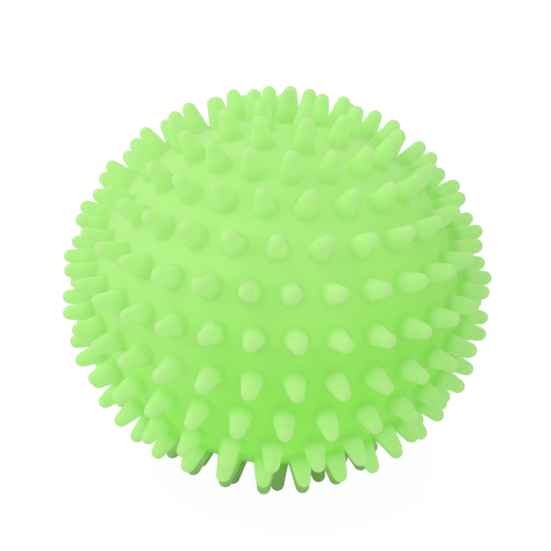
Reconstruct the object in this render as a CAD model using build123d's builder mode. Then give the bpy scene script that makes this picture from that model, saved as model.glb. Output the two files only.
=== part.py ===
from build123d import *
import math
import os

# Hollow spiky massage ball in two half shells, with an air valve at the top pole.
# Millimetres, origin at the centre of the ball, +Z up through the valve.

# ---------------------------------------------------------------- spikes and wall
TIP_DIAMETER = 90.0          # across the spike tips at the equator
FLATNESS = 0.94              # height over width of the ellipsoid of spike end centres
SPIKE_TIP_R = 1.43           # round end of a spike
SPIKE_ROOT_R = 2.35          # where a spike meets the wall
SPIKE_LENGTH = 6.25          # from the wall's surface to the spike's end
SPIKE_EMBED = 1.1            # root sunk into the wall
SPIKE_SPIN = -3              # degrees each spike is turned about its own axis
WALL = 2.4

CAP_R = TIP_DIAMETER / 2 - SPIKE_TIP_R     # equator radius of the spike end centres
CAP_H = CAP_R * FLATNESS                   # their half height at the poles
BODY_R = TIP_DIAMETER / 2 - SPIKE_LENGTH   # wall's outer radius at the equator
BODY_H = CAP_H + SPIKE_TIP_R - SPIKE_LENGTH  # wall's outer half height
FLOOR_Z = -41.1              # the lowest spikes end flat here

# A spike is a slim cone running tangent into its round end.
# Its heights are measured from the centre of the round end.
CONE_LENGTH = SPIKE_LENGTH - SPIKE_TIP_R
CONE_SLOPE = math.atan2(SPIKE_ROOT_R - SPIKE_TIP_R, CONE_LENGTH)
SPIKE_BOTTOM_Z = -(CONE_LENGTH + SPIKE_EMBED)
TANGENT_R = SPIKE_TIP_R * math.cos(CONE_SLOPE)
TANGENT_Z = SPIKE_TIP_R * math.sin(CONE_SLOPE)

# Rings of evenly spaced spikes; longitude 0 faces -Y, 90 faces +X.
# latitude in degrees, number of spikes, longitude of the first spike
UPPER_RINGS = [
    (9.3, 32, 6.1),
    (22.2, 30, 4.5),
    (34.8, 26, -0.5),
    (46.9, 22, 9.8),
    (58.8, 18, 3.8),
    (71.2, 10, 16.1),
    (80.4, 5, 31.3),
]
LOWER_RINGS = [
    (-3.6, 32, 6.2),
    (-16.5, 30, 4.1),
    (-30.5, 27, 1.6),
    (-41.6, 26, -0.9),
    (-57.7, 18, 19.1),
    (-67.0, 11, 8.6),
    (-80.5, 6, 0.4),
]

# ---------------------------------------------------------------- seam
SEAM_Z = 1.8                 # plane where the two half shells meet
RIM_INNER_R = BODY_R - 3.6   # the rim thickens the wall along the seam
RIM_OUTER_R = BODY_R - 1.2   # stays inside the wall
RIM_HEIGHT = 3.2
GROOVE_INNER_R = BODY_R - 2.7
GROOVE_OUTER_R = BODY_R - 1.5
GROOVE_DEPTH = 1.5           # into each half shell

# ---------------------------------------------------------------- valve
PAD_R = 3.6                  # small flat round the valve's mouth
PAD_Z = 36.15
BOSS_R = 5.6                 # thickening of the wall round the bush, on the inside
BOSS_BOTTOM_Z = 27.4
BUSH_FLANGE_R = 3.3
BUSH_FLANGE_Z = 34.6         # underside of the bush's outer flange
BUSH_BODY_R = 2.7
BUSH_BARB_R = 3.7
BUSH_END_R = BUSH_BODY_R - 0.4
BUSH_BOTTOM_Z = 26.1
PLUG_RECESS_R = 2.65
PLUG_RECESS_Z = 35.0
STEM_BORE_R = 1.65
STEM_BORE_Z = 30.9
NOZZLE_BORE_R = 1.25
PLUG_HEAD_R = PLUG_RECESS_R - 0.15
PLUG_STEM_R = STEM_BORE_R - 0.05
PLUG_STEM_Z = 31.4
STEM_TAPER_R = 0.4           # taper at the stem's lower end: inwards and upwards
STEM_TAPER_HEIGHT = 0.6

HOLE_REACH = 10              # the bush hole's cuts run this far past the flange's underside
TRIM = 100                   # reach of the trimming rectangles, larger than the ball


# ---------------------------------------------------------------- placing spikes
def spike_plane(latitude, longitude):
    """Plane at a spike's end centre, with its normal along the spike."""
    lat, lon = math.radians(latitude), math.radians(longitude)
    x, y, z = math.cos(lat) * math.sin(lon), -math.cos(lat) * math.cos(lon), math.sin(lat)
    outward = Vector(x, y, z / FLATNESS).normalized()
    east = Vector(math.cos(lon), math.sin(lon), 0)
    plane = Plane(origin=Vector(CAP_R * x, CAP_R * y, CAP_H * z), x_dir=east, z_dir=outward)
    return plane.rotated((0, 0, SPIKE_SPIN))


def ring_planes(rings):
    return [
        spike_plane(latitude, first + i * 360.0 / count)
        for latitude, count, first in rings
        for i in range(count)
    ]


# ---------------------------------------------------------------- profile helpers
# All profiles lie in Plane.XZ: sketch x is the radius, sketch y is the height z.
# These add to the sketch or line that is open where they are called.
def band(r_from, r_to, z_from, z_to, mode=Mode.ADD):
    """Rectangle between two radii and two heights."""
    with Locations(((r_from + r_to) / 2, (z_from + z_to) / 2)):
        Rectangle(abs(r_to - r_from), abs(z_to - z_from), mode=mode)


def groove_band(mode=Mode.ADD):
    """Section of both grooves together, which the bonding bead fills."""
    band(GROOVE_INNER_R, GROOVE_OUTER_R, SEAM_Z - GROOVE_DEPTH, SEAM_Z + GROOVE_DEPTH, mode)


def wall_and_rim(side):
    """Whole wall section, with the rim above (side 1) or below (side -1) the seam."""
    Ellipse(BODY_R, BODY_H)
    Ellipse(BODY_R - WALL, BODY_H - WALL, mode=Mode.SUBTRACT)
    band(RIM_INNER_R, RIM_OUTER_R, SEAM_Z, SEAM_Z + side * RIM_HEIGHT)


def cut_groove_and_trim(side):
    """Cut the groove, then keep positive radii on the given side of the seam."""
    groove_band(Mode.SUBTRACT)
    band(-TRIM, 0, -TRIM, TRIM, Mode.SUBTRACT)
    band(-TRIM, TRIM, SEAM_Z, SEAM_Z - side * TRIM, Mode.SUBTRACT)


def cone_radius(z):
    """Radius of a spike's cone at a height from its end centre."""
    return TANGENT_R + (TANGENT_Z - z) * math.tan(CONE_SLOPE)


def round_end_and_axis(centre_z, bottom_z):
    """Arc from the cone over the spike's end, then a line down the axis."""
    top = (0, centre_z + SPIKE_TIP_R)
    diagonal = SPIKE_TIP_R * math.sin(math.pi / 4)
    ThreePointArc((TANGENT_R, centre_z + TANGENT_Z), (diagonal, centre_z + diagonal), top)
    Line(top, (0, bottom_z))


# ---------------------------------------------------------------- pieces
def make_spike():
    """One spike along Z, with its origin at the centre of the round end."""
    root_r = cone_radius(SPIKE_BOTTOM_Z)
    with BuildPart() as spike:
        with BuildSketch(Plane.XZ):
            with BuildLine():
                Line((0, SPIKE_BOTTOM_Z), (root_r, SPIKE_BOTTOM_Z))
                Line((root_r, SPIKE_BOTTOM_Z), (TANGENT_R, TANGENT_Z))
                round_end_and_axis(0, SPIKE_BOTTOM_Z)
            make_face()
        revolve(axis=Axis.Z)
    return spike.part


def make_upper_shell(spike):
    with BuildPart() as shell:
        with BuildSketch(Plane.XZ):
            wall_and_rim(side=1)
            # boss and flat pad for the valve; the boss ends within the wall
            band(0, BOSS_R, BOSS_BOTTOM_Z, BODY_H - WALL / 2)
            band(0, PAD_R, BOSS_BOTTOM_Z, PAD_Z)
            # stepped hole for the bush
            hole_top = BUSH_FLANGE_Z + HOLE_REACH
            band(0, BUSH_FLANGE_R, BUSH_FLANGE_Z, hole_top, Mode.SUBTRACT)
            band(0, BUSH_BODY_R, BUSH_FLANGE_Z - HOLE_REACH, hole_top, Mode.SUBTRACT)
            cut_groove_and_trim(side=1)
        revolve(axis=Axis.Z)
        with Locations(*ring_planes(UPPER_RINGS)):
            add(spike)
    return shell.part


def make_lower_shell(spike):
    """Lower half, with one more spike at the bottom pole."""
    with BuildPart() as shell:
        with BuildSketch(Plane.XZ):
            wall_and_rim(side=-1)
            cut_groove_and_trim(side=-1)
        revolve(axis=Axis.Z)
        with Locations(*ring_planes(LOWER_RINGS), spike_plane(-90, 0)):
            add(spike)
        # the lowest spikes are flat where the ball rests
        split(bisect_by=Plane.XY.offset(FLOOR_Z), keep=Keep.TOP)
    return shell.part


def make_seam_bead():
    """Bonding bead that fills the grooves of both half shells."""
    with BuildPart() as bead:
        with BuildSketch(Plane.XZ):
            groove_band()
        revolve(axis=Axis.Z)
    return bead.part


def make_valve_bush():
    """Grommet: flange in the pad's counterbore, body through the boss, barb under it."""
    with BuildPart() as bush:
        with BuildSketch(Plane.XZ):
            with BuildLine():
                Polyline(
                    (NOZZLE_BORE_R, BUSH_BOTTOM_Z),
                    (BUSH_END_R, BUSH_BOTTOM_Z),
                    (BUSH_BARB_R, BOSS_BOTTOM_Z),
                    (BUSH_BODY_R, BOSS_BOTTOM_Z),
                    (BUSH_BODY_R, BUSH_FLANGE_Z),
                    (BUSH_FLANGE_R, BUSH_FLANGE_Z),
                    (BUSH_FLANGE_R, PAD_Z),
                    (PLUG_RECESS_R, PAD_Z),
                    (PLUG_RECESS_R, PLUG_RECESS_Z),
                    (STEM_BORE_R, PLUG_RECESS_Z),
                    (STEM_BORE_R, STEM_BORE_Z),
                    (NOZZLE_BORE_R, STEM_BORE_Z),
                    close=True,
                )
            make_face()
        revolve(axis=Axis.Z)
    return bush.part


def make_valve_plug():
    """The spike at the top pole, on a round head in the bush's recess, with a stem below."""
    with BuildPart() as plug:
        with BuildSketch(Plane.XZ):
            with BuildLine():
                Polyline(
                    (0, PLUG_STEM_Z),
                    (PLUG_STEM_R - STEM_TAPER_R, PLUG_STEM_Z),
                    (PLUG_STEM_R, PLUG_STEM_Z + STEM_TAPER_HEIGHT),
                    (PLUG_STEM_R, PLUG_RECESS_Z),
                    (PLUG_HEAD_R, PLUG_RECESS_Z),
                    (PLUG_HEAD_R, PAD_Z),
                    (cone_radius(PAD_Z - CAP_H), PAD_Z),
                    (TANGENT_R, CAP_H + TANGENT_Z),
                )
                round_end_and_axis(CAP_H, PLUG_STEM_Z)
            make_face()
        revolve(axis=Axis.Z)
    return plug.part


# ---------------------------------------------------------------- write the pieces
spike = make_spike()
pieces = {
    "upper_shell": make_upper_shell(spike),
    "lower_shell": make_lower_shell(spike),
    "seam_bead": make_seam_bead(),
    "valve_bush": make_valve_bush(),
    "valve_plug": make_valve_plug(),
}

os.makedirs("parts", exist_ok=True)
for name, part in pieces.items():
    part.label = name
    export_step(part, f"parts/{name}.step")
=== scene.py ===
"""A hollow ball of frosted green rubber covered in soft spikes, with a valve at the top.

The ball is centred on the origin with the valve's axis on +Z, and its lowest spikes rest on the
floor. The camera stands on the -Y side and looks slightly down. Longitudes run from -Y
towards +X. Shapes are in millimetres until make_object turns them into metres.
"""

import math

import bmesh
import bpy
import numpy as np
from mathutils import Matrix, Vector, geometry


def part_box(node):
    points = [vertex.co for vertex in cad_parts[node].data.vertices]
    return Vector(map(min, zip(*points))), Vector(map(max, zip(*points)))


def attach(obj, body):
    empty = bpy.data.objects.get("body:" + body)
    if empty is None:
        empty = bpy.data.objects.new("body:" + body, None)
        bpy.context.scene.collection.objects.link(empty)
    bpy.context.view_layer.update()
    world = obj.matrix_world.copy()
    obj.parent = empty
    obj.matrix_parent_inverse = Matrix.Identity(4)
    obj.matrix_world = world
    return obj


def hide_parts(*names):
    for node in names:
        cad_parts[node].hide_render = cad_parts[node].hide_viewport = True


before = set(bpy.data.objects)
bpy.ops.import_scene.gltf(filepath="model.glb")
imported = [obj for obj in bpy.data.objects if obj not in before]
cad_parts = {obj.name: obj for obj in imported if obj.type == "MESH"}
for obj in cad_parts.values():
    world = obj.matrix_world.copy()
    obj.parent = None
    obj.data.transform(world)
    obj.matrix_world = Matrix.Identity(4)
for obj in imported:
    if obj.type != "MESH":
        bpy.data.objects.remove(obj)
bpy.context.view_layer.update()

MM = 0.001


def cad_mm(part):
    """Lowest and highest corner of a CAD piece in millimetres."""
    low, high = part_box(part)
    return [v / MM for v in low], [v / MM for v in high]


UPPER_BOX, LOWER_BOX = cad_mm("upper_shell"), cad_mm("lower_shell")
BUSH_BOX, PLUG_BOX = cad_mm("valve_bush"), cad_mm("valve_plug")

# ------------------------------------------------------------------ dimensions, millimetres
# R is a radius, Z a level and H the half height of an ellipsoid.
BALL_R = 45.0                       # over the spikes
SPIKE_TIP_R = 1.43
SPIKE_ROOT_R = 2.35
SPIKE_LENGTH = 6.25
FLARE_R = 0.60                      # fillet where a spike grows out of the wall
FLATNESS = 0.94                     # height of the ball over its width
CAP_R = BALL_R - SPIKE_TIP_R        # ellipsoid through the centres of the spikes' round ends
CAP_H = CAP_R * FLATNESS
BODY_R = BALL_R - SPIKE_LENGTH      # outside of the wall
BODY_H = CAP_H + SPIKE_TIP_R - SPIKE_LENGTH
WALL = 2.4
INNER_R = BODY_R - WALL
INNER_H = BODY_H - WALL
SEAM_Z = UPPER_BOX[0][2]
FLOOR_Z = LOWER_BOX[0][2]
RIM_INNER_R = BODY_R - 3.6
RIM_HEIGHT = 3.2
GROOVE_INNER_R = BODY_R - 2.7
GROOVE_OUTER_R = BODY_R - 1.5
GROOVE_DEPTH = 1.5

PAD_R = 3.6                         # flat round pad at the top of the ball
PAD_Z = BUSH_BOX[1][2]
BOSS_R = 5.6                        # boss inside the wall that holds the bush
BOSS_BOTTOM_Z = 27.4
BUSH_FLANGE_R = 3.3
BUSH_FLANGE_Z = 34.6
BUSH_BODY_R = 2.7
BUSH_BARB_R = (BUSH_BOX[1][0] - BUSH_BOX[0][0]) / 2
BUSH_BOTTOM_Z = BUSH_BOX[0][2]
PLUG_RECESS_R = 2.65
PLUG_RECESS_Z = 35.0
STEM_BORE_R = 1.65
STEM_BORE_Z = 30.9
NOZZLE_BORE_R = 1.25
PLUG_HEAD_R = (PLUG_BOX[1][0] - PLUG_BOX[0][0]) / 2
PLUG_STEM_R = 1.6
PLUG_STEM_Z = PLUG_BOX[0][2]
GRIP_FLARE_R = 0.12

# Rings of spikes: latitude in degrees, number of spikes, longitude of the first in degrees
UPPER_RINGS = [
    (9.3, 32, 6.1), (22.2, 30, 4.5), (34.8, 26, -0.5), (46.9, 22, 9.8),
    (58.8, 18, 3.8), (71.2, 10, 16.1), (80.4, 5, 31.3),
]
LOWER_RINGS = [
    (-3.6, 32, 6.2), (-16.5, 30, 4.1), (-30.5, 27, 1.6), (-41.6, 26, -0.9),
    (-57.7, 18, 19.1), (-67.0, 11, 8.6), (-80.5, 6, 0.4),
]
# Outside of a half beside the parting line: distance from the seam, bulge over the wall.
# It makes a hairline nick between the halves with a faint lip beside it.
SEAM_ROWS = [(0.0, 0.0), (0.10, 0.012), (0.26, 0.006), (0.50, 0.0)]

SPIKE_N = 24                        # points round a spike
SEAM_N = 192                        # points round the seam and the inside
LATHE_N = 96                        # points round a valve piece
INSIDE_STEPS = 30                   # rings down the inside of the wall
GRID = 1.15                         # spacing of the wall's points along a row
ROW_PITCH = GRID * 0.9
FIRST_ROW_GAP = GRID * 0.7          # from the last seam row to the first row
POLE_GAP = GRID * 0.3               # no row closer to the pole
SPIKE_GAP = 0.55                    # between a spike's flare and the wall's points
PAD_GAP = 0.35

# Spread between spikes. A soft spike never stands quite straight.
HEIGHT_SPREAD = 0.06
RADIUS_SPREAD = 0.012               # share of the radius
LEAN_SPREAD = 0.011
LEAN_START = 0.3                    # height above the wall where the lean begins
LEAN_LINEAR, LEAN_SQUARE = 0.5, 0.09
GOLDEN = 0.6180339887               # spreads the spikes' shade values over 0 to 1

WALL_FORM = np.array([1 / BODY_R**2, 1 / BODY_R**2, 1 / BODY_H**2])

rng = np.random.default_rng(20)


# ------------------------------------------------------------------ geometry helpers
def unit(v):
    return v / np.linalg.norm(v, axis=-1, keepdims=True)


def circle(r, z, count=SEAM_N, shift=0.0):
    """Points round the Z axis from -Y, turned by a share of one step."""
    turn = (np.arange(count) + shift) * 2 * math.pi / count
    return np.stack([r * np.sin(turn), -r * np.cos(turn), np.full(count, z)], -1)


def arc(centre, radius, start, stop, steps):
    angles = [start + (stop - start) * k / steps for k in range(steps + 1)]
    return [(centre[0] + radius * math.cos(a), centre[1] + radius * math.sin(a)) for a in angles]


def ellipse(offset, semi_axis, other_semi_axis):
    """Half width of an ellipse at an offset along its first semi-axis."""
    return other_semi_axis * math.sqrt(1 - (offset / semi_axis) ** 2)


def strip(ring_a, ring_b, count):
    """Quads between two closed rings, given by their first points."""
    return [(ring_a + i, ring_a + (i + 1) % count, ring_b + (i + 1) % count, ring_b + i)
            for i in range(count)]


def fan(ring, point, count):
    return [(ring + i, ring + (i + 1) % count, point) for i in range(count)]


def turned(faces):
    return [face[::-1] for face in faces]


def reach_wall(points, axis):
    """Signed distance from the points along the axis to the outside of the wall."""
    a = (axis * WALL_FORM) @ axis
    b = (points * WALL_FORM) @ axis
    c = ((points * WALL_FORM) * points).sum(-1) - 1
    return (-b + np.sqrt(b * b - a * c)) / a


def make_object(name, points, faces, tip, spike):
    """Smooth mesh object. "tip" runs from 0 at a root to 1 at a tip, "spike" varies the shade."""
    mesh = bpy.data.meshes.new(name)
    mesh.from_pydata((points * MM).tolist(), [], faces)
    mesh.validate()
    mesh.polygons.foreach_set("use_smooth", [True] * len(mesh.polygons))
    mesh.update()
    ob = bpy.data.objects.new(name, mesh)
    bpy.context.scene.collection.objects.link(ob)
    bm = bmesh.new()
    bm.from_mesh(mesh)
    bmesh.ops.recalc_face_normals(bm, faces=bm.faces)
    bm.to_mesh(mesh)
    bm.free()
    for attribute, values in (("tip", tip), ("spike", spike)):
        data = mesh.attributes.new(attribute, "FLOAT", "POINT").data
        data.foreach_set("value", np.asarray(values, dtype=np.float32))
    return ob


# ------------------------------------------------------------------ spikes
def spike_list(rings, pole):
    """Root on the wall, height and axes of each spike, with one at the lower pole if asked."""
    stands = []
    for latitude, count, first in rings:
        for i in range(count):
            lat, lon = math.radians(latitude), math.radians(first + 360.0 * i / count)
            c, s = math.cos(lat), math.sin(lat)
            centre = np.array([CAP_R * c * math.sin(lon), -CAP_R * c * math.cos(lon), CAP_H * s])
            axis = unit(np.array([c * math.sin(lon), -c * math.cos(lon), s / FLATNESS]))
            stands.append((centre, axis, np.array([math.cos(lon), math.sin(lon), 0.0])))
    if pole:
        stands.append((np.array([0, 0, -CAP_H]), np.array([0, 0, -1.0]), np.array([1.0, 0, 0])))
    spikes = []
    for centre, axis, east in stands:
        reach = reach_wall(centre, axis)
        spikes.append({"axis": axis, "east": east, "north": np.cross(axis, east),
                       "root": centre + reach * axis, "height": -reach})
    return spikes


def spike_profile(height, tip_r, root_r, flare_r):
    """Radius and height from the flare's outer edge to the round end, one point a row."""
    slope = math.atan2(root_r - tip_r, height)
    flare_centre_r = root_r - flare_r * math.tan(slope) + flare_r / math.cos(slope)
    points = arc((flare_centre_r, flare_r), flare_r, 1.5 * math.pi, math.pi + slope, steps=6)
    start = points[-1]
    end = (tip_r * math.cos(slope), height + tip_r * math.sin(slope))
    side_steps = 5
    for k in range(1, side_steps + 1):
        f = k / side_steps
        points.append((start[0] + (end[0] - start[0]) * f, start[1] + (end[1] - start[1]) * f))
    return np.array(points + arc((0, height), tip_r, slope, math.pi / 2, steps=6)[1:])


# every flare ends at the same radius, that of a spike of typical height
FLARE_EDGE_R = spike_profile(5.5, SPIKE_TIP_R, SPIKE_ROOT_R, FLARE_R)[0, 0]


def build_spike(spike, first):
    """Points, tip values and faces of a spike. Its outer ring lies on the wall."""
    axis, east, north = spike["axis"], spike["east"], spike["north"]
    height = spike["height"] + rng.normal(0, HEIGHT_SPREAD)
    tip_r = SPIKE_TIP_R * (1 + rng.normal(0, RADIUS_SPREAD))
    root_r = SPIKE_ROOT_R * (1 + rng.normal(0, RADIUS_SPREAD))
    lean_east, lean_north = rng.normal(0, LEAN_SPREAD, 2)
    lean = lean_east * east + lean_north * north
    profile = spike_profile(height, tip_r, root_r, FLARE_R)
    profile[0, 0] = FLARE_EDGE_R
    turn = np.arange(SPIKE_N) * 2 * math.pi / SPIKE_N
    around = np.cos(turn)[:, None] * east + np.sin(turn)[:, None] * north
    last = len(profile) - 1
    points, tip = [], []
    for k, (r, h) in enumerate(profile):
        base = spike["root"] + (np.zeros((1, 3)) if k == last else r * around)
        above = max(0.0, h - LEAN_START)
        bend = lean * (LEAN_LINEAR * above + LEAN_SQUARE * above * above)
        points.append(base + (reach_wall(base, axis) + h)[:, None] * axis + bend)
        tip += [h / (height + tip_r)] * len(base)
    rings = [first + k * SPIKE_N for k in range(last + 1)]
    faces = []
    for ring, above_ring in zip(rings[:-1], rings[1:-1]):
        faces += strip(ring, above_ring, SPIKE_N)
    faces += fan(rings[-2], rings[-1], SPIKE_N)
    return np.concatenate(points), tip, faces


# ------------------------------------------------------------------ half shells
class Skin:
    """Points and faces of a half shell, with the flat map in which its wall is triangulated."""

    def __init__(self, sign):
        self.sign = sign
        self.count = 0
        self.points, self.tip, self.spike, self.faces = [], [], [], []
        self.flat, self.flat_ids, self.holes, self.edges = [], [], [], []

    def put(self, points, tip=0.0, spike=0.0):
        """Add points and return the index of the first."""
        first = self.count
        self.points.append(points)
        self.tip.append(np.full(len(points), tip))
        self.spike.append(np.full(len(points), spike))
        self.count += len(points)
        return first

    def map_flat(self, first, points, hole=None, loop=True):
        """Project points from the opposite pole. A loop's edges are kept in the wall."""
        start, count = len(self.flat), len(points)
        on_sphere = points / np.array([BODY_R, BODY_R, BODY_H])
        self.flat.extend(on_sphere[:, :2] / (1 + self.sign * on_sphere[:, 2:3]))
        self.flat_ids.extend(range(first, first + count))
        self.holes.extend([hole] * count)
        if loop:
            self.edges.extend((start + k, start + (k + 1) % count) for k in range(count))

    def fill_wall(self):
        """Triangulate the flat map, leaving the spikes and the pad open."""
        result = geometry.delaunay_2d_cdt([Vector(p) for p in self.flat], self.edges, [],
                                          0, 1e-7, True)
        triangles, origins = result[2], result[3]
        for triangle in triangles:
            # a point added by the triangulation has no origin and stops the script here
            corners = [origins[i][0] for i in triangle]
            holes = {self.holes[i] for i in corners}
            if len(holes) == 1 and None not in holes:
                continue
            face = tuple(self.flat_ids[i] for i in corners)
            self.faces.append(face if self.sign > 0 else face[::-1])


def wall_grid(sign, spikes):
    """Points spread over the wall, clear of the spikes and of the pad."""
    rows = []
    latitude = math.asin(SEAM_Z / BODY_H) + sign * (SEAM_ROWS[-1][0] + FIRST_ROW_GAP) / BODY_R
    while abs(latitude) < math.pi / 2 - POLE_GAP / BODY_R:
        row_r, row_z = BODY_R * math.cos(latitude), BODY_H * math.sin(latitude)
        count = max(1, round(2 * math.pi * row_r / GRID))
        rows.append(circle(row_r, row_z, count, shift=0.5 * (len(rows) % 2)))
        latitude += sign * ROW_PITCH / BODY_R
    grid = np.concatenate(rows)
    roots = np.array([spike["root"] for spike in spikes])
    gap = np.linalg.norm(grid[:, None] - roots, axis=2).min(axis=1)
    keep = gap > FLARE_EDGE_R + SPIKE_GAP
    if sign > 0:
        keep &= np.hypot(grid[:, 0], grid[:, 1]) > PAD_R + PAD_GAP
    return grid[keep]


def inside_section(sign, pad_edge_z):
    """Radius and level from the pad's edge or the lower pole, down the inside, to the seam."""
    section = []
    start = -math.pi / 2
    if sign > 0:
        boss_top_z = ellipse(BOSS_R, INNER_R, INNER_H)
        section += [
            # rounded edge of the pad
            (PAD_R - 0.03, pad_edge_z + 0.07),
            (PAD_R - 0.09, PAD_Z - 0.02),
            (PAD_R - 0.16, PAD_Z),
            # rounded mouth of the bush's seat
            (BUSH_FLANGE_R + 0.09, PAD_Z),
            (BUSH_FLANGE_R + 0.03, PAD_Z - 0.03),
            (BUSH_FLANGE_R, PAD_Z - 0.12),
            # seat and boss
            (BUSH_FLANGE_R, BUSH_FLANGE_Z),
            (BUSH_BODY_R, BUSH_FLANGE_Z),
            (BUSH_BODY_R, BOSS_BOTTOM_Z),
            (BOSS_R, BOSS_BOTTOM_Z),
            (BOSS_R, boss_top_z),
        ]
        start = math.asin(boss_top_z / INNER_H)
    rim_z = SEAM_Z + sign * RIM_HEIGHT
    groove_z = SEAM_Z + sign * GROOVE_DEPTH
    stop = math.asin(rim_z / INNER_H)
    for k in range(1, INSIDE_STEPS + 1):
        latitude = start + (stop - start) * k / INSIDE_STEPS
        section.append((INNER_R * math.cos(latitude), INNER_H * math.sin(latitude)))
    return section + [
        (RIM_INNER_R, rim_z), (RIM_INNER_R, SEAM_Z),
        (GROOVE_INNER_R, SEAM_Z), (GROOVE_INNER_R, groove_z),
        (GROOVE_OUTER_R, groove_z), (GROOVE_OUTER_R, SEAM_Z),
    ]


def half_shell(name, upper):
    sign = 1 if upper else -1
    skin = Skin(sign)
    spikes = spike_list(UPPER_RINGS if upper else LOWER_RINGS, pole=not upper)

    seam_rings = []
    for away, bulge in SEAM_ROWS:
        z = SEAM_Z + sign * away
        seam_rings.append(skin.put(circle(ellipse(z, BODY_H, BODY_R) + bulge, z)))
    for ring, next_ring in zip(seam_rings, seam_rings[1:]):
        quads = strip(ring, next_ring, SEAM_N)
        skin.faces += quads if upper else turned(quads)
    skin.map_flat(seam_rings[-1], skin.points[-1])

    pad_edge_z = ellipse(PAD_R, BODY_R, BODY_H)
    previous = None
    if upper:
        pad = circle(PAD_R, pad_edge_z)
        previous = skin.put(pad)
        skin.map_flat(previous, pad, hole="pad")
    for k, spike in enumerate(spikes):
        points, tip, faces = build_spike(spike, skin.count)
        first = skin.put(points, tip, (k * GOLDEN) % 1.0)
        skin.faces += faces
        skin.map_flat(first, points[:SPIKE_N], hole=k)
    grid = wall_grid(sign, spikes)
    skin.map_flat(skin.put(grid), grid, loop=False)
    skin.fill_wall()

    for r, z in inside_section(sign, pad_edge_z):
        ring = skin.put(circle(r, z))
        if previous is None:
            pole = skin.put(np.array([[0, 0, -INNER_H]]))
            skin.faces += [(ring + i, pole, ring + (i + 1) % SEAM_N) for i in range(SEAM_N)]
        else:
            skin.faces += strip(previous, ring, SEAM_N)
        previous = ring
    skin.faces += strip(previous, seam_rings[0], SEAM_N)

    points = np.concatenate(skin.points)
    if not upper:
        # the lowest spikes are pressed flat where the ball rests
        points[:, 2] = np.maximum(points[:, 2], FLOOR_Z)
    return make_object(name, points, skin.faces,
                       tip=np.concatenate(skin.tip), spike=np.concatenate(skin.spike))


# ------------------------------------------------------------------ valve pieces
def rounded(corners):
    """Closed section from (r, z, edge radius) corners. A corner with radius 0 stays sharp."""
    section = []
    for i, (r, z, edge_r) in enumerate(corners):
        if edge_r <= 0:
            section.append((r, z))
            continue
        corner = np.array([r, z])
        before = unit(np.array(corners[i - 1][:2]) - corner)
        after = unit(np.array(corners[(i + 1) % len(corners)][:2]) - corner)
        half = math.acos(max(-1, min(1, float(before @ after)))) / 2
        cut = edge_r / math.tan(half)
        centre = corner + unit(before + after) * edge_r / math.sin(half)
        start, end = corner + before * cut - centre, corner + after * cut - centre
        start_angle = math.atan2(start[1], start[0])
        sweep = math.atan2(end[1], end[0]) - start_angle
        sweep = (sweep + math.pi) % (2 * math.pi) - math.pi
        section += arc(centre, edge_r, start_angle, start_angle + sweep, steps=5)
    return section


def lathe(section):
    """Points and faces of a closed ring, or of a solid where both ends are on the axis."""
    on_axis = [r < 1e-6 for r, _ in section]
    rings = [np.array([[0.0, 0.0, z]]) if axial else circle(r, z, LATHE_N)
             for (r, z), axial in zip(section, on_axis)]
    starts = np.cumsum([0] + [len(ring) for ring in rings[:-1]]).tolist()
    order = list(range(len(section)))
    if not any(on_axis):
        order.append(0)
    faces = []
    for a, b in zip(order, order[1:]):
        if on_axis[a]:
            faces += turned(fan(starts[b], starts[a], LATHE_N))
        elif on_axis[b]:
            faces += fan(starts[a], starts[b], LATHE_N)
        else:
            faces += strip(starts[a], starts[b], LATHE_N)
    return np.concatenate(rings), faces


def build_bush():
    points, faces = lathe(rounded([
        (NOZZLE_BORE_R, BUSH_BOTTOM_Z, 0.25),
        (BUSH_BODY_R - 0.4, BUSH_BOTTOM_Z, 0.25),
        (BUSH_BARB_R, BOSS_BOTTOM_Z, 0.12),
        (BUSH_BODY_R, BOSS_BOTTOM_Z, 0.0),
        (BUSH_BODY_R, BUSH_FLANGE_Z, 0.0),
        (BUSH_FLANGE_R, BUSH_FLANGE_Z, 0.0),
        (BUSH_FLANGE_R, PAD_Z, 0.14),
        (PLUG_RECESS_R, PAD_Z, 0.14),
        (PLUG_RECESS_R, PLUG_RECESS_Z, 0.15),
        (STEM_BORE_R, PLUG_RECESS_Z, 0.15),
        (STEM_BORE_R, STEM_BORE_Z, 0.1),
        (NOZZLE_BORE_R, STEM_BORE_Z, 0.15),
    ]))
    bush_tip = 0.12                 # slightly milky all over
    return make_object("valve_bush_rubber", points, faces,
                       tip=np.full(len(points), bush_tip), spike=np.zeros(len(points)))


def build_plug():
    """Short stem and round head, with the spike of the upper pole on it as the grip."""
    grip = spike_profile(CAP_H - PAD_Z, SPIKE_TIP_R, SPIKE_ROOT_R, GRIP_FLARE_R)
    points, faces = lathe(rounded([
        (0.0, PLUG_STEM_Z, 0.0),
        (PLUG_STEM_R - 0.4, PLUG_STEM_Z, 0.2),
        (PLUG_STEM_R, PLUG_STEM_Z + 0.6, 0.2),
        (PLUG_STEM_R, PLUG_RECESS_Z, 0.1),
        (PLUG_HEAD_R, PLUG_RECESS_Z, 0.15),
        (PLUG_HEAD_R, PAD_Z - 0.06, 0.0),
    ]) + [(r, PAD_Z + h) for r, h in grip])
    tip = np.clip((points[:, 2] - PAD_Z) / (CAP_H + SPIKE_TIP_R - PAD_Z), 0.0, 1.0)
    return make_object("valve_plug_rubber", points, faces, tip=tip, spike=np.zeros(len(points)))


def hand_over(ob, rides, part):
    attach(ob, rides)
    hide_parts(part)


upper_skin = half_shell("upper_shell_skin", upper=True)
lower_skin = half_shell("lower_shell_skin", upper=False)
hand_over(upper_skin, "ball", "upper_shell")
hand_over(lower_skin, "ball", "lower_shell")
bush = build_bush()
hand_over(bush, "ball", "valve_bush")
plug = build_plug()
hand_over(plug, "plug", "valve_plug")


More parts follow.
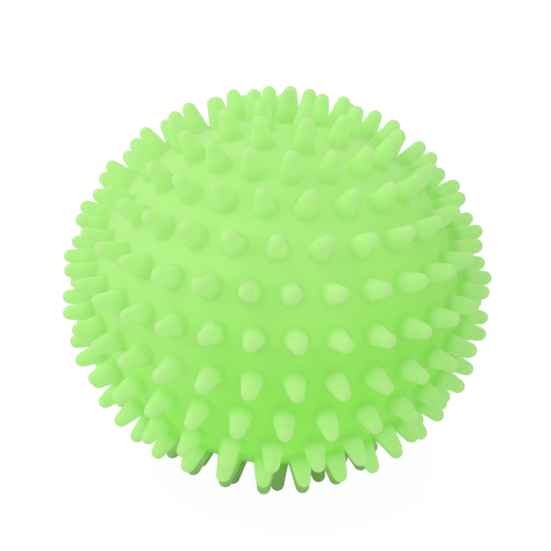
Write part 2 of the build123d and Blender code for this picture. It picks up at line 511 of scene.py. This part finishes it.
# ------------------------------------------------------------------ materials
class Nodes:
    """Builds a node tree. An input is given a value, or a socket to link from."""

    def __init__(self, tree):
        self.tree = tree
        self.tree.nodes.clear()
        self.x = 0

    def add(self, kind, inputs=None, **settings):
        node = self.tree.nodes.new(kind)
        self.x += 180
        node.location = (self.x, 0)
        for key, value in settings.items():
            setattr(node, key, value)
        for key, value in (inputs or {}).items():
            if isinstance(value, bpy.types.NodeSocket):
                self.tree.links.new(value, node.inputs[key])
            else:
                node.inputs[key].default_value = value
        return node

    def math(self, operation, *values, clamp=False):
        inputs = dict(enumerate(values))
        return self.add("ShaderNodeMath", inputs, operation=operation, use_clamp=clamp).outputs[0]

    def mix(self, factor, a, b):
        return self.add("ShaderNodeMix", {0: factor, 6: a, 7: b}, data_type="RGBA").outputs[2]

    def ramp(self, value, between, to=(0.0, 1.0)):
        """Smooth step from one value to another while the input crosses a range."""
        inputs = {0: value, 1: between[0], 2: between[1], 3: to[0], 4: to[1]}
        node = self.add("ShaderNodeMapRange", inputs, interpolation_type="SMOOTHSTEP")
        return node.outputs[0]

    def noise(self, scale, detail=2.0, rough=0.5):
        place = self.add("ShaderNodeTexCoord").outputs["Object"]
        inputs = {"Vector": place, "Scale": scale, "Detail": detail, "Roughness": rough}
        return self.add("ShaderNodeTexNoise", inputs).outputs["Fac"]

    def by_camera(self, factor, others, camera):
        """Mix two shaders by a factor made from the camera ray."""
        inputs = {0: factor, 1: others.outputs[0], 2: camera.outputs[0]}
        return self.add("ShaderNodeMixShader", inputs).outputs[0]


def new_material(name):
    mat = bpy.data.materials.new(name)
    mat.use_nodes = True
    return mat, Nodes(mat.node_tree)


WHITE = (1, 1, 1, 1)
LOW_GREEN = (0.297, 0.675, 0.105, 1.0)      # wall's green low down, below the painted sheen
PAINTED_SHEEN_GREEN = (0.447, 0.731, 0.241, 1.0)     # painted sheen: a paler, lit copy of the wall's green, higher up
TIP_GREEN = (0.435, 0.735, 0.255, 1.0)
PAINTED_GLOW_LOW = (0.31, 1.0, 0.09, 1.0)           # painted glow: emission standing in for light from inside, in the same three places
PAINTED_GLOW_HIGH = (0.46, 0.92, 0.23, 1.0)
PAINTED_GLOW_TIP = (0.48, 0.86, 0.27, 1.0)


def soft_rubber(name, scatter=0.0026, rough=0.58, grain=1.0, glow=0.37):
    """Frosted translucent rubber with milky spikes; a painted sheen makes the wall paler above
    than low down.

    scatter is the subsurface scale in metres, rough the mean roughness, grain the strength of
    the bumps and glow the strength of the painted glow that stands in for light through the ball.
    """
    mat, m = new_material(name)
    tip_at = m.add("ShaderNodeAttribute", attribute_name="tip").outputs["Fac"]
    spike_at = m.add("ShaderNodeAttribute", attribute_name="spike").outputs["Fac"]
    place = m.add("ShaderNodeTexCoord").outputs["Object"]
    position = m.add("ShaderNodeSeparateXYZ", {0: place}).outputs
    x, z = position["X"], position["Z"]

    # painted sheen from the key light: the wall is paler higher up and towards -X; slow clouds
    # move its edge up and down, and it is lower towards -X
    cloud = m.noise(scale=38.0, detail=3.0, rough=0.55)
    painted_sheen_level = m.math("ADD", z, m.ramp(cloud, between=(0.25, 0.75), to=(-0.007, 0.007)))
    # painted sheen leans towards -X, the side of the key light
    painted_sheen_tilt = -0.50
    painted_sheen_level = m.math("ADD", painted_sheen_level, m.math("MULTIPLY", x, painted_sheen_tilt))
    painted_sheen = m.ramp(painted_sheen_level, between=(-0.020, 0.034))
    wall_colour_with_painted_sheen = m.mix(painted_sheen, LOW_GREEN, PAINTED_SHEEN_GREEN)
    # a solid root would look greener than the thin wall, so the milky colour starts at once
    height = m.ramp(tip_at, between=(0.0, 0.42))
    spread, offset = 0.12, -0.06    # difference in milkiness between spikes
    vary = m.math("MULTIPLY_ADD", spike_at, spread, offset)
    colour = m.mix(m.math("ADD", height, vary, clamp=True), wall_colour_with_painted_sheen, TIP_GREEN)

    mottle = m.noise(scale=150.0, detail=3.0, rough=0.6)
    mottle_and_painted_shade = m.ramp(mottle, between=(0.3, 0.7), to=(0.975, 1.025))
    # little light gets under the ball, through the wall or from outside
    # painted shade: the colour and the glow are darker under the ball, where little light gets in
    painted_underside_shade_mask = m.ramp(z, between=(-0.0415, -0.0230))
    mottle_and_painted_shade = m.math("MULTIPLY", mottle_and_painted_shade, m.ramp(painted_underside_shade_mask, between=(0.0, 1.0), to=(0.74, 1.0)))
    # painted shade: the colour and the glow are darker where the surface is seen edge-on, which
    # draws dark outlines
    painted_edge_shade_facing = m.add("ShaderNodeLayerWeight", {"Blend": 0.30}).outputs["Facing"]
    mottle_and_painted_shade = m.math("MULTIPLY", mottle_and_painted_shade, m.ramp(painted_edge_shade_facing, between=(0.50, 1.0), to=(1.0, 0.80)))
    # the base colour is scaled by the random mottle and by the painted shade
    colour = m.add("ShaderNodeVectorMath", {0: colour, "Scale": mottle_and_painted_shade},
                   operation="SCALE").outputs[0]

    # scattering is kept short beside the bonded seam, so that no line shows
    off_seam = m.math("ABSOLUTE", m.math("SUBTRACT", z, SEAM_Z * MM))
    scatter_scale = m.ramp(off_seam, between=(0.0004, 0.0040), to=(0.0003, scatter))

    # painted glow: emission stands in for light from inside the hollow ball and flattens the
    # shading;
    # it is weaker under the ball, at the roots, edge-on and towards +X away from the key light,
    # which paints shade there, and stronger towards the tips
    painted_glow_colour = m.mix(height, m.mix(painted_sheen, PAINTED_GLOW_LOW, PAINTED_GLOW_HIGH), PAINTED_GLOW_TIP)
    painted_glow_strength = m.math("MULTIPLY", m.ramp(painted_underside_shade_mask, between=(0.0, 1.0), to=(0.10, 1.0)),
                  m.ramp(tip_at, between=(0.0, 0.12), to=(1.0, 0.78)))
    for value, between, to in (
            (tip_at, (0.14, 0.45), (1.0, 1.27)),
            (painted_edge_shade_facing, (0.45, 0.95), (1.0, 0.50)),
            (x, (0.012, 0.045), (1.0, 0.82))):
        painted_glow_strength = m.math("MULTIPLY", painted_glow_strength, m.ramp(value, between, to))
    painted_glow_strength = m.math("MULTIPLY", painted_glow_strength, glow)

    # frosted skin: fine moulded grain over slow patches of gloss
    gloss = m.ramp(m.noise(scale=260.0), between=(0.3, 0.7), to=(rough - 0.06, rough + 0.07))
    fine = m.add("ShaderNodeBump", {
        "Strength": 0.12 * grain, "Distance": 0.00012,
        "Height": m.noise(scale=3200.0, detail=3.0, rough=0.6)})
    coarse = m.add("ShaderNodeBump", {
        "Strength": 0.25 * grain, "Distance": 0.00025,
        "Height": m.noise(scale=420.0), "Normal": fine.outputs[0]})

    surface = m.add("ShaderNodeBsdfPrincipled", {
        "Base Color": colour,
        "Subsurface Weight": 1.0,
        "Subsurface Radius": (0.8, 1.0, 0.6),
        "Subsurface Scale": scatter_scale,
        "Emission Color": painted_glow_colour,
        "Emission Strength": painted_glow_strength,
        "IOR": 1.45,
        "Specular IOR Level": 0.7,
        "Sheen Weight": 0.15,
        "Sheen Roughness": 0.6,
        "Roughness": gloss,
        "Normal": coarse.outputs[0],
    })
    m.add("ShaderNodeOutputMaterial", {"Surface": surface.outputs[0]})
    return mat


skin_rubber = soft_rubber("frosted_green_rubber")
for shell in (upper_skin, lower_skin):
    shell.data.materials.append(skin_rubber)
# the valve pieces get a weaker painted glow than the shells
bush.data.materials.append(
    soft_rubber("valve_bush_rubber", scatter=0.002, rough=0.42, grain=0.6, glow=0.20))
plug.data.materials.append(
    soft_rubber("valve_plug_rubber", scatter=0.002, rough=0.50, grain=0.8, glow=0.33))
bead_rubber = soft_rubber("seam_bead_rubber", scatter=0.002)
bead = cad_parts["seam_bead"]
if bead.material_slots:
    for material_slot in bead.material_slots:
        material_slot.material = bead_rubber
else:
    bead.data.materials.append(bead_rubber)


# ------------------------------------------------------------------ stage, metres
def floor_material():
    """Lit white sweep: the camera sees it burnt out, apart from a soft trace of shadow."""
    mat, m = new_material("pale_floor")
    matt = m.add("ShaderNodeBsdfPrincipled", {
        "Base Color": (0.78, 0.78, 0.78, 1), "Roughness": 0.9, "Specular IOR Level": 0.1})
    glow = m.add("ShaderNodeEmission", {"Color": WHITE, "Strength": 1.10})
    camera_ray = m.add("ShaderNodeLightPath").outputs["Is Camera Ray"]
    glow_share = 0.86
    shader = m.by_camera(m.math("MULTIPLY", camera_ray, glow_share), others=matt, camera=glow)
    m.add("ShaderNodeOutputMaterial", {"Surface": shader})
    return mat


def build_floor(half=3, z=FLOOR_Z * MM):
    mesh = bpy.data.meshes.new("floor")
    corners = [(-half, -half, z), (half, -half, z), (half, half, z), (-half, half, z)]
    mesh.from_pydata(corners, [], [(0, 1, 2, 3)])
    ob = bpy.data.objects.new("floor", mesh)
    bpy.context.scene.collection.objects.link(ob)
    mesh.materials.append(floor_material())


def build_world():
    """Even studio light, with a white backdrop where the camera sees it."""
    world = bpy.data.worlds.new("studio")
    bpy.context.scene.world = world
    world.use_nodes = True
    m = Nodes(world.node_tree)
    light = m.add("ShaderNodeBackground", {"Color": WHITE, "Strength": 0.525})
    backdrop = m.add("ShaderNodeBackground", {"Color": WHITE, "Strength": 1.0})
    camera_ray = m.add("ShaderNodeLightPath").outputs["Is Camera Ray"]
    shader = m.by_camera(camera_ray, others=light, camera=backdrop)
    m.add("ShaderNodeOutputWorld", {"Surface": shader})


def softbox(name, place, size, power):
    """Round area light aimed at the origin, with its power in watts."""
    light = bpy.data.lights.new(name, "AREA")
    light.shape = "DISK"
    light.size = size
    light.energy = power
    ob = bpy.data.objects.new(name, light)
    bpy.context.scene.collection.objects.link(ob)
    ob.location = place
    ob.rotation_mode = "QUATERNION"
    ob.rotation_quaternion = (-Vector(place)).to_track_quat("-Z", "Y")


def build_camera():
    elevation, roll = math.radians(22.276), math.radians(3.18)
    distance = 5.41 * CAP_R * MM
    data = bpy.data.cameras.new("camera")
    camera = bpy.data.objects.new("camera", data)
    bpy.context.scene.collection.objects.link(camera)
    back = Vector((0, -math.cos(elevation), math.sin(elevation)))
    level_right = Vector((1, 0, 0))
    level_up = back.cross(level_right)
    right = level_right * math.cos(roll) + level_up * math.sin(roll)
    up = -level_right * math.sin(roll) + level_up * math.cos(roll)
    rotation = Matrix((right, up, back)).transposed().to_4x4()
    camera.matrix_world = Matrix.Translation(back * distance) @ rotation
    data.sensor_width = 36.0
    data.lens = 72.404769
    data.shift_x = -0.0017186933
    data.shift_y = 0.023166969
    data.clip_start = 0.01
    data.clip_end = 20
    bpy.context.scene.camera = camera


build_floor()
build_world()
softbox("key_top_left", place=(-0.58, -0.25, 0.50), size=0.9, power=1.25)
softbox("fill_front", place=(0.30, -0.75, 0.25), size=0.7, power=0.25)
build_camera()
bpy.context.scene.view_settings.view_transform = "Standard"
bpy.context.scene.view_settings.look = "None"
